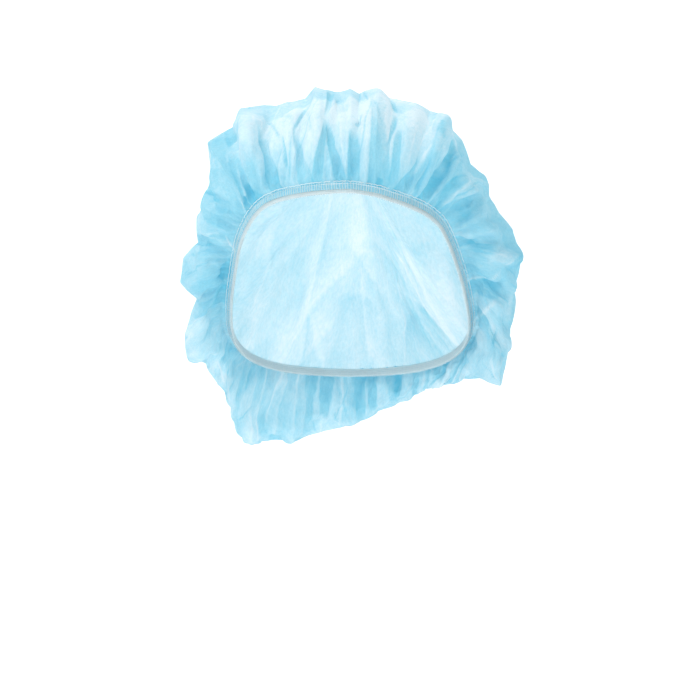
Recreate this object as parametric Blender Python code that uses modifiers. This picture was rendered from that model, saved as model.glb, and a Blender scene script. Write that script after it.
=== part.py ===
"""Disposable hairnet: a disc of nonwoven cloth gathered at its edge on an elastic loop.

Built as it sits: +Z up, the face opening toward -Y, the back of the crown toward +Y.
The origin is the middle of the elastic loop, halfway between forehead and nape.
A turn is an angle in degrees round the front-to-back axis, seen from the front:
0 is straight up, 90 is +X, 180 is straight down.
"""
import math

import bpy
import numpy as np

# Named sizes, in metres
opening_half_width = 0.077
opening_half_depth = 0.080
opening_half_height = 0.0615
axis_height = 0.0155
crown_reach = 0.108
crown_back = 0.147
dome_half_width = 0.107
dome_half_height = 0.112
dome_height = 0.0135
pole_height = 0.092
pole_base_depth = 0.010
front_puff = 0.012
fold_depth = 0.008
cloth_wall = 0.0012
elastic_wall = 0.0010
elastic_width = 0.0056
elastic_showing = 0.0022
hem_wall = 0.0016
hem_width = 0.0034
seam_gap = 0.0003
lip_rise = 0.0020
lip_reach = 0.0040
head_half_width = 0.077
head_half_depth = 0.095
head_half_height = 0.105

# Counts and shape numbers
front_rows = 9
rear_rows = 12
pole_ring_share = 0.93
widest_column = 5.3
outline_softness = 26.0
front_fold_follow = 0.60
rear_fold_follow = 0.60
rear_fold_fading = 3.5
dome_power = 2.1

# The loop's lower edge: turn, then shares of the opening's half width, half depth and half height
LOOP = (
    ("turn", "across", "back", "up"),
    (0, 0.000, -1.000, 1.000),
    (23, 0.230, -0.969, 0.947),
    (40, 0.422, -0.887, 0.873),
    (55, 0.590, -0.775, 0.775),
    (65, 0.714, -0.638, 0.662),
    (78, 0.782, -0.550, 0.460),
    (98, 0.907, -0.300, 0.088),
    (114, 0.974, -0.038, -0.286),
    (121, 0.990, 0.150, -0.500),
    (128, 0.940, 0.370, -0.670),
    (136, 0.820, 0.570, -0.810),
    (145, 0.640, 0.760, -0.910),
    (155, 0.440, 0.890, -0.960),
    (167, 0.220, 0.970, -0.990),
    (180, 0.000, 1.000, -1.000),
    (193, -0.220, 0.970, -0.990),
    (205, -0.440, 0.890, -0.960),
    (215, -0.640, 0.760, -0.910),
    (224, -0.820, 0.570, -0.810),
    (232, -0.935, 0.350, -0.670),
    (239, -0.980, 0.170, -0.490),
    (252, -0.970, -0.038, -0.143),
    (268, -0.927, -0.213, 0.215),
    (283, -0.869, -0.388, 0.496),
    (295, -0.780, -0.575, 0.711),
    (305, -0.679, -0.700, 0.857),
    (315, -0.533, -0.825, 0.922),
    (329, -0.343, -0.938, 0.971),
    (345, -0.163, -0.988, 0.993),
)

# The crown's outline from the front, a row for each ridge and notch: turn, share of crown_reach
OUTLINE = (
    ("turn", "reach"),
    (0, 1.030),
    (3, 1.002),
    (8, 1.037),
    (10, 1.036),
    (13, 1.004),
    (22, 1.018),
    (27, 1.009),
    (33, 1.037),
    (37, 1.000),
    (42, 0.991),
    (49, 0.936),
    (52, 0.928),
    (56, 0.946),
    (60, 0.930),
    (65, 0.914),
    (70, 0.936),
    (75, 0.979),
    (78, 0.999),
    (82, 0.997),
    (87, 1.021),
    (94, 1.013),
    (101, 1.009),
    (107, 1.021),
    (113, 1.036),
    (118, 1.086),
    (125, 1.155),
    (129, 1.190),
    (132, 1.093),
    (136, 1.005),
    (144, 0.964),
    (152, 0.925),
    (160, 0.946),
    (170, 0.975),
    (180, 1.053),
    (188, 1.090),
    (196, 1.191),
    (205, 1.273),
    (210, 1.312),
    (213, 1.290),
    (215, 1.245),
    (219, 1.194),
    (224, 1.121),
    (230, 1.105),
    (235, 1.084),
    (238, 1.135),
    (240, 1.138),
    (246, 1.092),
    (252, 1.024),
    (257, 0.948),
    (260, 0.981),
    (264, 1.024),
    (270, 1.010),
    (273, 0.992),
    (278, 0.920),
    (283, 0.935),
    (288, 0.962),
    (292, 0.949),
    (298, 0.964),
    (303, 0.992),
    (306, 1.043),
    (311, 1.097),
    (315, 1.075),
    (320, 1.060),
    (324, 1.109),
    (326, 1.118),
    (328, 1.102),
    (332, 1.070),
    (336, 1.025),
    (340, 1.021),
    (345, 1.014),
    (347, 1.039),
    (349, 1.060),
    (352, 1.028),
    (357, 1.019),
)

# How far back the outline lies: turn, share of crown_back
OUTLINE_DEPTH = (
    ("turn", "depth"),
    (0, 0.00),
    (45, 0.07),
    (75, 0.24),
    (90, 0.31),
    (105, 0.35),
    (125, 0.48),
    (140, 0.65),
    (160, 0.76),
    (180, 0.82),
    (200, 0.80),
    (215, 0.73),
    (230, 0.63),
    (250, 0.42),
    (265, 0.33),
    (285, 0.29),
    (315, 0.10),
    (335, 0.02),
)

# Where each fold at the outline starts at the hem, both as turns
GATHER = (
    ("outline_turn", "hem_turn"),
    (0, 0),
    (4, 4),
    (8, 15),
    (16, 26),
    (36, 50),
    (53, 59),
    (90, 88),
    (128, 115),
    (152, 145),
    (180, 180),
    (212, 220),
    (250, 252),
    (298, 292),
    (320, 303),
    (332, 310),
    (347, 328),
    (354, 344),
    (360, 360),
)

# Main folds of the front face: turn at the outline, share of fold_depth (minus is a valley),
# half width in degrees, and the shares of the way up at which the fold is deepest
FRONT_FOLDS = (
    ("turn", "depth", "half_width", "deepest"),
    (3, -0.70, 3.0, 0.60),
    (9, 0.60, 3.5, 0.55),
    (14, -0.75, 3.0, 0.50),
    (20, 0.55, 3.5, 0.55),
    (26, -0.80, 3.5, 0.45),
    (33, 0.90, 3.5, 0.60),
    (39, -1.00, 4.0, 0.40),
    (50, 0.60, 4.5, 0.50),
    (60, -0.80, 4.5, 0.45),
    (70, 0.80, 5.0, 0.55),
    (80, -0.90, 4.5, 0.45),
    (90, 0.90, 5.0, 0.60),
    (101, -1.10, 5.0, 0.55),
    (111, 0.80, 4.5, 0.60),
    (121, -0.60, 4.0, 0.55),
    (218, 0.60, 5.0, 0.55),
    (228, -0.70, 4.5, 0.55),
    (240, 0.80, 5.0, 0.60),
    (256, -1.00, 4.5, 0.55),
    (266, 0.90, 5.0, 0.60),
    (277, -1.00, 4.5, 0.55),
    (288, 0.60, 4.5, 0.50),
    (298, -0.70, 4.0, 0.45),
    (310, 0.70, 4.5, 0.60),
    (320, -0.90, 3.5, 0.45),
    (327, 0.80, 3.0, 0.60),
    (334, -1.00, 3.0, 0.35),
    (341, 0.50, 3.0, 0.55),
    (346, -0.70, 2.5, 0.50),
    (351, 0.50, 2.5, 0.60),
    (356, -0.60, 2.5, 0.45),
)

# Main folds of the back, gathered at the nape and fading over the crown: the same columns
REAR_FOLDS = (
    ("turn", "depth", "half_width", "deepest"),
    (18, -0.50, 6.0, 0.45),
    (42, 0.45, 7.0, 0.40),
    (66, -0.55, 7.0, 0.40),
    (92, 0.60, 7.0, 0.35),
    (112, -0.70, 6.0, 0.35),
    (130, 0.45, 6.0, 0.30),
    (147, -0.70, 6.0, 0.30),
    (163, 0.70, 6.0, 0.30),
    (178, -0.80, 6.0, 0.30),
    (193, 0.80, 6.0, 0.28),
    (207, -0.60, 5.0, 0.28),
    (222, 0.70, 6.0, 0.30),
    (238, -0.80, 6.0, 0.35),
    (262, 0.60, 7.0, 0.35),
    (284, -0.60, 7.0, 0.40),
    (312, 0.55, 8.0, 0.40),
    (338, -0.45, 7.0, 0.45),
)


def clear_scene():
    for item in list(bpy.data.objects):
        bpy.data.objects.remove(item, do_unlink=True)


def column(table, name):
    place = table[0].index(name)
    return np.array([row[place] for row in table[1:]], dtype=float)


def around(table, name, turn):
    """The table's column at a turn, straight between its rows and closed on itself."""
    return np.interp(turn, column(table, table[0][0]), column(table, name), period=360.0)


def softened(table, name, turn, softness):
    """The column averaged over the turns within the softness on each side."""
    offsets = np.linspace(-2.0 * softness, 2.0 * softness, 33)
    weights = np.exp(-(offsets / softness) ** 2)
    values = around(table, name, np.asarray(turn)[..., None] + offsets)
    return (values * weights).sum(-1) / weights.sum()


def hem_turn(turn):
    return np.interp(turn % 360.0, column(GATHER, "outline_turn"), column(GATHER, "hem_turn"))


def column_turns():
    """The outline's rows, with columns added wherever two of them are far apart."""
    rows = list(column(OUTLINE, "turn")) + [360.0]
    turns = []
    for first, second in zip(rows[:-1], rows[1:]):
        gap = max(second - first, hem_turn(second - 0.001) - hem_turn(first))
        parts = math.ceil(gap / widest_column - 0.01)
        turns.extend(first + (second - first) * part / parts for part in range(parts))
    return np.array(turns)


def unit(vectors):
    return vectors / np.linalg.norm(vectors, axis=-1, keepdims=True)


def loop_points(turn):
    softness = 5.0
    across = softened(LOOP, "across", turn, softness) * opening_half_width
    back = softened(LOOP, "back", turn, softness) * opening_half_depth
    up = softened(LOOP, "up", turn, softness) * opening_half_height
    return np.stack([across, back, up], axis=-1)


def loop_directions(turn):
    """Away from the head, and along the head away from the face."""
    points = loop_points(turn)
    along = unit(loop_points(turn + 1.0) - loop_points(turn - 1.0))
    squares = np.array([head_half_width, head_half_depth, head_half_height]) ** 2
    outward = unit(points / squares)
    upward = unit(np.cross(outward, along))
    outward = unit(np.cross(along, upward))
    return outward, upward


def band_ring(turn, raised, away):
    """A ring that follows the loop, raised along the head and held away from it."""
    outward, upward = loop_directions(turn)
    return loop_points(turn) + upward * raised + outward * away


def radial(turn):
    angle = np.radians(turn)
    return np.stack([np.sin(angle), np.zeros_like(angle), np.cos(angle)], axis=-1)


def outline_points(turn):
    reach = around(OUTLINE, "reach", turn) * crown_reach
    points = radial(turn) * reach[:, None]
    points[:, 1] = softened(OUTLINE_DEPTH, "depth", turn, 7.0) * crown_back
    points[:, 2] += axis_height
    return points


def outline_relief(turn):
    """How far each column of the outline stands out of its softened mean."""
    own = around(OUTLINE, "reach", turn)
    mean = softened(OUTLINE, "reach", turn, outline_softness)
    return (own - mean) * crown_reach


def fold_relief(table, turn, way):
    """The main folds' depth at each column, a share of the way along the meridian."""
    total = np.zeros_like(turn)
    for at, depth, half_width, deepest in table[1:]:
        apart = (turn - at + 180.0) % 360.0 - 180.0
        across = np.exp(-(apart / half_width) ** 2)
        rise = math.sin(math.pi * way ** (math.log(0.5) / math.log(deepest)))
        total += depth * fold_depth * across * rise
    return total


def front_ring(turn, step):
    """From the lip outward to the outline, along a quarter turn that bulges forward."""
    angle = 0.5 * math.pi * step / front_rows
    start = crown_lip(turn)
    end = outline_points(turn)
    ring = start + (end - start) * math.sin(angle)
    ring[:, 1] = start[:, 1] + (end[:, 1] - start[:, 1]) * (1.0 - math.cos(angle))
    ring[:, 1] -= fold_relief(FRONT_FOLDS, turn, step / front_rows)
    ring[:, 1] -= (front_puff + front_fold_follow * outline_relief(turn)) * math.sin(2.0 * angle)
    return ring


def rear_ring(turn, step):
    """From the outline back over the dome toward its pole, the outline's ridges fading out."""
    angle = 0.5 * math.pi * step / rear_rows
    way = pole_ring_share * (1.0 - math.cos(angle))
    relief = outline_relief(turn)
    end = outline_points(turn) - radial(turn) * relief[:, None]
    pole = np.array([0.0, 0.0, pole_height])
    ring = end + (pole - end) * way
    ring[:, 1] = dome_depth(ring, end, way)
    ring += radial(turn) * (relief * (1.0 - way) ** rear_fold_fading)[:, None]
    ring[:, 1] += fold_relief(REAR_FOLDS, turn, way) * (1.0 - way)
    ring[:, 1] += rear_fold_follow * relief * math.sin(2.0 * angle) * (1.0 - way)
    return ring


def dome_depth(points, outline, way):
    def share(at):
        return np.hypot(at[:, 0] / dome_half_width, (at[:, 2] - dome_height) / dome_half_height)
    ratio = share(points) * (1.0 + (1.0 / share(outline) - 1.0) * (1.0 - way))
    base = outline[:, 1] * (1.0 - way) + pole_base_depth * way
    rise = (1.0 - np.clip(ratio, 0.0, 1.0) ** dome_power) ** (1.0 / dome_power)
    return base + (crown_back - base) * rise


def crown_start(turn):
    """The crown's outer face where it leaves the top of the hem."""
    raised = elastic_showing + hem_width + seam_gap
    away = elastic_wall + seam_gap + cloth_wall
    return band_ring(hem_turn(turn), raised, away)


def crown_lip(turn):
    """Where the cloth has turned outward over the hem."""
    raised = elastic_showing + hem_width + seam_gap + lip_rise
    away = elastic_wall + seam_gap + cloth_wall + lip_reach
    return band_ring(hem_turn(turn), raised, away)


def lofted_mesh(name, rings, closing_point=None):
    """Quads between closed rings, with a fan to the closing point after the last ring."""
    count = len(rings[0])
    points = [tuple(point) for ring in rings for point in ring]
    faces = []
    for row in range(len(rings) - 1):
        for side in range(count):
            beside = (side + 1) % count
            low = row * count
            high = low + count
            faces.append((low + side, low + beside, high + beside, high + side))
    if closing_point is not None:
        last = (len(rings) - 1) * count
        points.append(tuple(closing_point))
        for side in range(count):
            faces.append((last + side, last + (side + 1) % count, len(points) - 1))
    mesh = bpy.data.meshes.new(name)
    mesh.from_pydata(points, [], faces)
    mesh.update()
    return mesh


def add_sheet(name, mesh, wall, side, material, collection):
    """An open surface made solid: side 1 thickens along the normals, side -1 against them."""
    sheet = bpy.data.objects.new(name, mesh)
    collection.objects.link(sheet)
    sheet.data.materials.append(material)
    for face in mesh.polygons:
        face.use_smooth = True
    solid = sheet.modifiers.new("wall", "SOLIDIFY")
    solid.thickness = wall
    solid.offset = side
    solid.use_even_offset = False
    return sheet


def plain_material(name, colour, roughness):
    material = bpy.data.materials.new(name)
    material.use_nodes = True
    shader = material.node_tree.nodes["Principled BSDF"]
    shader.inputs["Base Color"].default_value = (*colour, 1.0)
    shader.inputs["Roughness"].default_value = roughness
    return material


def add_crown(turns, collection):
    rings = [crown_start(turns)]
    rings += [front_ring(turns, step) for step in range(front_rows)]
    rings += [rear_ring(turns, step) for step in range(rear_rows + 1)]
    pole = rings[-1].mean(axis=0)
    pole[2] = pole_height
    cloth = plain_material("nonwoven_cloth", (0.55, 0.80, 0.91), 0.75)
    return add_sheet("crown", lofted_mesh("crown", rings, pole), cloth_wall, -1, cloth, collection)


def add_hem_band(turns, collection):
    low = elastic_showing
    away = elastic_wall + seam_gap
    rings = [band_ring(turns, low, away), band_ring(turns, low + hem_width, away)]
    hem = plain_material("hem_cloth", (0.45, 0.68, 0.80), 0.75)
    return add_sheet("hem_band", lofted_mesh("hem_band", rings), hem_wall, 1, hem, collection)


def add_elastic(turns, collection):
    rings = [band_ring(turns, 0.0, 0.0), band_ring(turns, elastic_width, 0.0)]
    rubber = plain_material("elastic_rubber", (0.80, 0.84, 0.83), 0.6)
    return add_sheet("elastic", lofted_mesh("elastic", rings), elastic_wall, 1, rubber, collection)


def build():
    clear_scene()
    collection = bpy.data.collections.new("disposable_hairnet")
    bpy.context.scene.collection.children.link(collection)
    turns = column_turns()
    add_crown(turns, collection)
    add_hem_band(hem_turn(turns), collection)
    add_elastic(hem_turn(turns), collection)


build()
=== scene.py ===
"""Looks of the disposable hairnet: nonwoven cloth gathered on an overlocked elastic hem."""

import math

import bpy
import numpy as np
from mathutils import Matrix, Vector


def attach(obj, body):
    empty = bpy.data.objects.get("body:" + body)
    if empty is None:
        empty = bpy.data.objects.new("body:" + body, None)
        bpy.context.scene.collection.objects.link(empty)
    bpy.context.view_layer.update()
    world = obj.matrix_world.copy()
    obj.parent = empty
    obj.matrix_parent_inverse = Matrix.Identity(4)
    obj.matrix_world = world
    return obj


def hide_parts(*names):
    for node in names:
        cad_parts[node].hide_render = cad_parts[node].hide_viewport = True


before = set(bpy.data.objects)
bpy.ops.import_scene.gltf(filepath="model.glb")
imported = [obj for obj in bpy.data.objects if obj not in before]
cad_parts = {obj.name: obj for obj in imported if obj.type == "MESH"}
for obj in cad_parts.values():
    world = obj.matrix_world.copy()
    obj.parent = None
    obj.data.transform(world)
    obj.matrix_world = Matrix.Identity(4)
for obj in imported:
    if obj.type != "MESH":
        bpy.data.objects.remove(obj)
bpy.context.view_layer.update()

# Named sizes of the part, in metres
opening_half_width = 0.077
opening_half_depth = 0.080
opening_half_height = 0.0615
axis_height = 0.0155
crown_reach = 0.108
crown_back = 0.147
dome_half_width = 0.107
dome_half_height = 0.112
dome_height = 0.0135
pole_height = 0.092
pole_base_depth = 0.010
front_puff = 0.012
fold_depth = 0.008
cloth_wall = 0.0012
elastic_wall = 0.0010
elastic_width = 0.0056
elastic_showing = 0.0022
hem_wall = 0.0016
hem_width = 0.0034
seam_gap = 0.0003
lip_rise = 0.0020
lip_reach = 0.0040
head_half_width = 0.077
head_half_depth = 0.095
head_half_height = 0.105

# Counts and shape numbers of the part
pole_ring_share = 0.93
outline_softness = 26.0
front_fold_follow = 0.60
rear_fold_follow = 0.60
rear_fold_fading = 3.5
dome_power = 2.1
fold_crispness = 1.5

# Where the rear folds begin to fade and end, as shares of the way from outline to pole
rear_fade_start = 0.35
rear_fade_end = 0.75

# The cloth's own sizes, the stage's floor and the camera, in metres, degrees and millimetres
disc_radius = 0.265
stage_height = -0.216
camera_distance = 1.500
camera_target = (0.0, 0.012, -0.039)
camera_tilt = 4.0
camera_lens = 120.5
camera_sensor = 36.0
pleat_width = 0.0080
pleat_depth = 0.0030
crest_height = 0.0012
outline_margin = 0.0012

# The fine grid, closer at the forehead than at the nape
cloth_columns = 880
hem_columns = 1488
forehead_crowding = 0.25
lip_rows = 4
front_steps = 44
rear_steps = 58

# The loop's lower edge: turn, then shares of the opening's half width, half depth and half height
LOOP = (
    ("turn", "across", "back", "up"),
    (0, 0.00, -1.00, 1.00),
    (20, 0.20, -0.98, 0.96),
    (40, 0.42, -0.89, 0.87),
    (55, 0.59, -0.78, 0.78),
    (65, 0.71, -0.65, 0.66),
    (80, 0.80, -0.52, 0.42),
    (98, 0.90, -0.30, 0.08),
    (114, 0.97, -0.05, -0.28),
    (121, 0.99, 0.15, -0.50),
    (128, 0.94, 0.37, -0.67),
    (136, 0.82, 0.57, -0.81),
    (145, 0.64, 0.76, -0.91),
    (155, 0.44, 0.89, -0.96),
    (167, 0.22, 0.97, -0.99),
    (180, 0.00, 1.00, -1.00),
    (193, -0.22, 0.97, -0.99),
    (205, -0.44, 0.89, -0.96),
    (215, -0.64, 0.76, -0.91),
    (224, -0.82, 0.57, -0.81),
    (232, -0.93, 0.35, -0.67),
    (239, -0.98, 0.17, -0.49),
    (252, -0.97, -0.05, -0.14),
    (268, -0.92, -0.22, 0.22),
    (283, -0.87, -0.39, 0.50),
    (295, -0.78, -0.57, 0.71),
    (305, -0.68, -0.70, 0.85),
    (315, -0.54, -0.82, 0.92),
    (330, -0.33, -0.94, 0.97),
    (345, -0.16, -0.99, 0.99),
)

# The crown's outline from the front, a row for each ridge and notch: turn, share of crown_reach
OUTLINE = (
    ("turn", "reach"),
    (0, 1.03),
    (3, 1.00),
    (9, 1.04),
    (13, 1.00),
    (22, 1.02),
    (27, 1.01),
    (33, 1.04),
    (37, 1.00),
    (42, 0.99),
    (50, 0.93),
    (56, 0.95),
    (65, 0.91),
    (70, 0.94),
    (78, 1.00),
    (82, 1.00),
    (87, 1.02),
    (100, 1.01),
    (112, 1.03),
    (118, 1.09),
    (125, 1.15),
    (129, 1.19),
    (132, 1.09),
    (136, 1.00),
    (144, 0.96),
    (152, 0.93),
    (160, 0.95),
    (170, 0.98),
    (180, 1.05),
    (188, 1.10),
    (196, 1.19),
    (205, 1.27),
    (210, 1.31),
    (213, 1.29),
    (219, 1.19),
    (224, 1.12),
    (230, 1.10),
    (235, 1.08),
    (239, 1.14),
    (246, 1.09),
    (257, 0.95),
    (264, 1.02),
    (272, 1.00),
    (278, 0.92),
    (288, 0.96),
    (292, 0.95),
    (298, 0.96),
    (303, 0.99),
    (311, 1.10),
    (315, 1.08),
    (320, 1.06),
    (325, 1.12),
    (332, 1.07),
    (337, 1.02),
    (345, 1.01),
    (349, 1.06),
    (352, 1.03),
    (357, 1.02),
)

# How far back the outline lies: turn, share of crown_back
OUTLINE_DEPTH = (
    ("turn", "depth"),
    (0, 0.00),
    (45, 0.07),
    (75, 0.24),
    (90, 0.31),
    (105, 0.35),
    (125, 0.48),
    (140, 0.65),
    (160, 0.76),
    (180, 0.82),
    (200, 0.80),
    (215, 0.73),
    (230, 0.63),
    (250, 0.42),
    (265, 0.33),
    (285, 0.29),
    (315, 0.10),
    (335, 0.02),
)

# Where each fold at the outline starts at the hem, both as turns
GATHER = (
    ("outline_turn", "hem_turn"),
    (0, 0),
    (4, 4),
    (8, 15),
    (16, 26),
    (36, 50),
    (53, 59),
    (90, 88),
    (128, 115),
    (152, 145),
    (180, 180),
    (212, 220),
    (250, 252),
    (298, 292),
    (320, 303),
    (332, 310),
    (347, 328),
    (354, 344),
    (360, 360),
)

# Main folds, with the part's columns: turn, share of fold_depth, half width, where they are deepest
FRONT_FOLDS = (
    ("turn", "depth", "half_width", "deepest"),
    (3, -0.70, 3.0, 0.60),
    (9, 0.60, 3.5, 0.55),
    (14, -0.75, 3.0, 0.50),
    (20, 0.55, 3.5, 0.55),
    (26, -0.80, 3.5, 0.45),
    (33, 0.90, 3.5, 0.60),
    (39, -1.00, 4.0, 0.40),
    (50, 0.60, 4.5, 0.50),
    (60, -0.80, 4.5, 0.45),
    (70, 0.80, 5.0, 0.55),
    (80, -0.90, 4.5, 0.45),
    (90, 0.90, 5.0, 0.60),
    (101, -1.10, 5.0, 0.55),
    (111, 0.80, 4.5, 0.60),
    (121, -0.60, 4.0, 0.55),
    (218, 0.60, 5.0, 0.55),
    (228, -0.70, 4.5, 0.55),
    (240, 0.80, 5.0, 0.60),
    (256, -1.00, 4.5, 0.55),
    (266, 0.90, 5.0, 0.60),
    (277, -1.00, 4.5, 0.55),
    (288, 0.60, 4.5, 0.50),
    (298, -0.70, 4.0, 0.45),
    (310, 0.70, 4.5, 0.60),
    (320, -0.90, 3.5, 0.45),
    (327, 0.80, 3.0, 0.60),
    (334, -1.00, 3.0, 0.35),
    (341, 0.50, 3.0, 0.55),
    (346, -0.70, 2.5, 0.50),
    (351, 0.50, 2.5, 0.60),
    (356, -0.60, 2.5, 0.45),
)

# Main folds of the back, gathered at the nape and fading over the crown: the same columns
REAR_FOLDS = (
    ("turn", "depth", "half_width", "deepest"),
    (18, -0.50, 6.0, 0.45),
    (42, 0.45, 7.0, 0.40),
    (66, -0.55, 7.0, 0.40),
    (92, 0.60, 7.0, 0.35),
    (112, -0.70, 6.0, 0.35),
    (130, 0.45, 6.0, 0.30),
    (147, -0.70, 6.0, 0.30),
    (163, 0.70, 6.0, 0.30),
    (178, -0.80, 6.0, 0.30),
    (193, 0.80, 6.0, 0.28),
    (207, -0.60, 5.0, 0.28),
    (222, 0.70, 6.0, 0.30),
    (238, -0.80, 6.0, 0.35),
    (262, 0.60, 7.0, 0.35),
    (284, -0.60, 7.0, 0.40),
    (312, 0.55, 8.0, 0.40),
    (338, -0.45, 7.0, 0.45),
)


def column(table, name):
    place = table[0].index(name)
    return np.array([row[place] for row in table[1:]], dtype=float)


def around(table, name, turn):
    return np.interp(turn, column(table, table[0][0]), column(table, name), period=360.0)


def softened(table, name, turn, softness):
    offsets = np.linspace(-2.0 * softness, 2.0 * softness, 33)
    weights = np.exp(-(offsets / softness) ** 2)
    values = around(table, name, np.asarray(turn)[..., None] + offsets)
    return (values * weights).sum(-1) / weights.sum()


def unit(vectors):
    return vectors / np.maximum(np.linalg.norm(vectors, axis=-1, keepdims=True), 1e-12)


def loop_points(turn):
    across = softened(LOOP, "across", turn, 5.0) * opening_half_width
    back = softened(LOOP, "back", turn, 5.0) * opening_half_depth
    up = softened(LOOP, "up", turn, 5.0) * opening_half_height
    return np.stack([across, back, up], axis=-1)


def loop_directions(turn):
    points = loop_points(turn)
    along = unit(loop_points(turn + 1.0) - loop_points(turn - 1.0))
    squares = np.array([head_half_width, head_half_depth, head_half_height]) ** 2
    outward = unit(points / squares)
    upward = unit(np.cross(outward, along))
    outward = unit(np.cross(along, upward))
    return outward, upward


def band_points(turn, raised, away):
    """Points over the loop: raised along the head and held away from it, each a number or an array."""
    outward, upward = loop_directions(turn)
    raised = np.asarray(raised)[..., None]
    away = np.asarray(away)[..., None]
    return loop_points(turn) + upward * raised + outward * away


def radial(turn):
    angle = np.radians(turn)
    return np.stack([np.sin(angle), np.zeros_like(angle), np.cos(angle)], axis=-1)


def outline_relief(turn):
    own = around(OUTLINE, "reach", turn)
    mean = softened(OUTLINE, "reach", turn, outline_softness)
    return (own - mean) * crown_reach


def outline_points(turn):
    reach = around(OUTLINE, "reach", turn) * crown_reach
    points = radial(turn) * reach[:, None]
    points[:, 1] = softened(OUTLINE_DEPTH, "depth", turn, 7.0) * crown_back
    points[:, 2] += axis_height
    return points


def hem_turns(shares):
    """Hem turns at the given shares of the elastic's length, from the forehead round."""
    fine = np.linspace(0.0, 360.0, 1441)
    steps = np.linalg.norm(np.diff(loop_points(fine), axis=0), axis=1)
    run = np.concatenate([[0.0], np.cumsum(steps)])
    return np.interp(shares % 1.0 * run[-1], run, fine)


def column_shares():
    """Where each column of the cloth starts, as a share of the elastic's length."""
    even = np.arange(cloth_columns) / cloth_columns
    return even - forehead_crowding * np.sin(2.0 * math.pi * even) / (2.0 * math.pi)


def fold_relief(table, turn, way, crisp):
    """The named folds, with the way along the meridian from 0 to 1."""
    total = np.zeros_like(turn)
    for at, depth, half_width, deepest in table[1:]:
        apart = np.abs((turn - at + 180.0) % 360.0 - 180.0)
        across = np.exp(-(apart / half_width) ** crisp)
        rise = math.sin(math.pi * min(max(way, 1e-6), 1.0) ** (math.log(0.5) / math.log(deepest)))
        total += depth * fold_depth * across * rise
    return total


def crown_rings(hem, turn):
    """Rows of the smooth crown from the hem to the pole ring, with rear folds that fade sooner."""
    raised = elastic_showing + hem_width + seam_gap
    away = elastic_wall + seam_gap + cloth_wall
    rows = []
    for step in range(lip_rows):
        share = step / lip_rows
        rows.append(band_points(hem, raised + lip_rise * share, away + lip_reach * share ** 1.6))
    start = band_points(hem, raised + lip_rise, away + lip_reach)
    end = outline_points(turn)
    relief = outline_relief(turn)
    for step in range(front_steps):
        angle = 0.5 * math.pi * step / front_steps
        row = start + (end - start) * math.sin(angle)
        row[:, 1] = start[:, 1] + (end[:, 1] - start[:, 1]) * (1.0 - math.cos(angle))
        row[:, 1] -= fold_relief(FRONT_FOLDS, turn, step / front_steps, fold_crispness)
        row[:, 1] -= (front_puff + front_fold_follow * relief) * math.sin(2.0 * angle)
        rows.append(row)
    soft = end - radial(turn) * relief[:, None]
    pole = np.array([0.0, 0.0, pole_height])
    for step in range(rear_steps + 1):
        angle = 0.5 * math.pi * step / rear_steps
        way = pole_ring_share * (1.0 - math.cos(angle))
        row = soft + (pole - soft) * way
        row[:, 1] = dome_depth(row, soft, way)
        row += radial(turn) * (relief * (1.0 - way) ** rear_fold_fading)[:, None]
        rear = fold_relief(REAR_FOLDS, turn, way, fold_crispness) * (1.0 - way)
        row[:, 1] += rear * (1.0 - smoothstep(rear_fade_start, rear_fade_end, way))
        row[:, 1] += rear_fold_follow * relief * math.sin(2.0 * angle) * (1.0 - way)
        rows.append(row)
    return np.array(rows)


def dome_depth(points, outline, way):
    def share(at):
        return np.hypot(at[:, 0] / dome_half_width, (at[:, 2] - dome_height) / dome_half_height)
    ratio = share(points) * (1.0 + (1.0 / share(outline) - 1.0) * (1.0 - way))
    base = outline[:, 1] * (1.0 - way) + pole_base_depth * way
    rise = (1.0 - np.clip(ratio, 0.0, 1.0) ** dome_power) ** (1.0 / dome_power)
    return base + (crown_back - base) * rise


def smoothstep(low, high, value):
    share = np.clip((value - low) / (high - low), 0.0, 1.0)
    return share * share * (3.0 - 2.0 * share)


def cloth_noise(seed, across, along, cells_across, cells_along):
    """Smooth noise from -1 to 1. Across wraps round the disc, along runs from hem to pole."""
    rng = np.random.default_rng(seed)
    grid = rng.uniform(-1.0, 1.0, (cells_along + 2, cells_across))
    x = across * cells_across
    y = np.clip(along, 0.0, 0.9999) * cells_along
    left = np.floor(x).astype(int)
    low = np.floor(y).astype(int)
    share_x = smoothstep(0.0, 1.0, x - left)
    share_y = smoothstep(0.0, 1.0, y - low)
    left %= cells_across
    right = (left + 1) % cells_across
    lower = grid[low, left] * (1.0 - share_x) + grid[low, right] * share_x
    upper = grid[low + 1, left] * (1.0 - share_x) + grid[low + 1, right] * share_x
    return lower * (1.0 - share_y) + upper * share_y


def crisp_wave(phase):
    """A wave with straight flanks and narrow ridges and valleys."""
    return np.arcsin(0.975 * np.sin(2.0 * math.pi * phase)) / math.asin(0.975)


# Gathers from the hem up: folds round the disc, height, and the distances from the hem
# at which they start, are full, begin to fade and end, in metres
GATHERS = (
    ("folds", "height", "start", "full", "fade", "end"),
    (118, 0.0012, -0.002, 0.003, 0.006, 0.020),
    (71, 0.0016, 0.002, 0.010, 0.016, 0.044),
    (41, 0.0017, 0.010, 0.025, 0.040, 0.100),
    (23, 0.0022, 0.030, 0.060, 0.090, 0.150),
    (13, 0.0022, 0.070, 0.110, 0.130, 0.190),
)

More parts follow.
